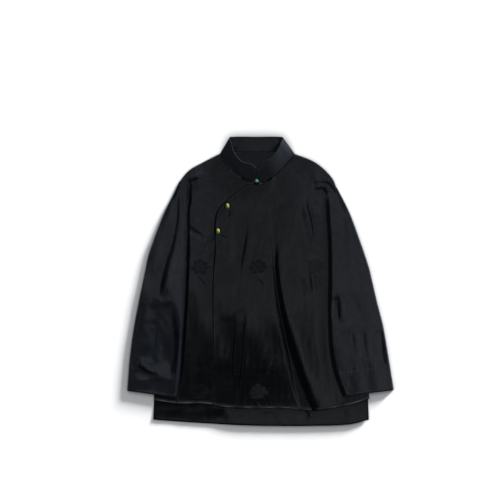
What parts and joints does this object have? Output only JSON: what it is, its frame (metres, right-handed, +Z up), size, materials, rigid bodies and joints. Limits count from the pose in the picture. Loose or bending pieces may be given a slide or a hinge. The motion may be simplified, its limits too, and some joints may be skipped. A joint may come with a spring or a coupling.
{
  "type": "mandarin collar shirt",
  "caption": "Long-sleeved satin shirt with a stand-up mandarin collar and a slanting front closed by bead buttons and cord loops, laid flat face up with its sleeves over its sides.",
  "frame": {"origin": "middle of the laid shirt's box, on the surface it lies on", "axes": "+X to the wearer's left, +Y from hem to collar, +Z up off the surface, out of the front"},
  "size_m": [0.653, 0.7072, 0.028],
  "materials": {
    "satin": "black jacquard satin with tone-on-tone blossoms",
    "cord": "thin twisted satin cord",
    "jade_bead": "polished jade green",
    "glass_bead": "polished glass, amber yellow above and leaf green below"
  },
  "bodies": {
    "root": {"back": "satin", "front_right": "satin", "front_left": "satin", "sleeve_right": "satin", "sleeve_left": "satin", "collar": "satin", "bead_neck": "jade_bead", "bead_upper": "glass_bead", "bead_lower": "glass_bead", "loop_neck": "cord", "loop_upper": "cord", "loop_lower": "cord", "stem_neck_right": "cord", "stem_neck_left": "cord", "stem_upper": "cord", "stem_lower": "cord", "tack": "cord"}
  },
  "joints": []
}
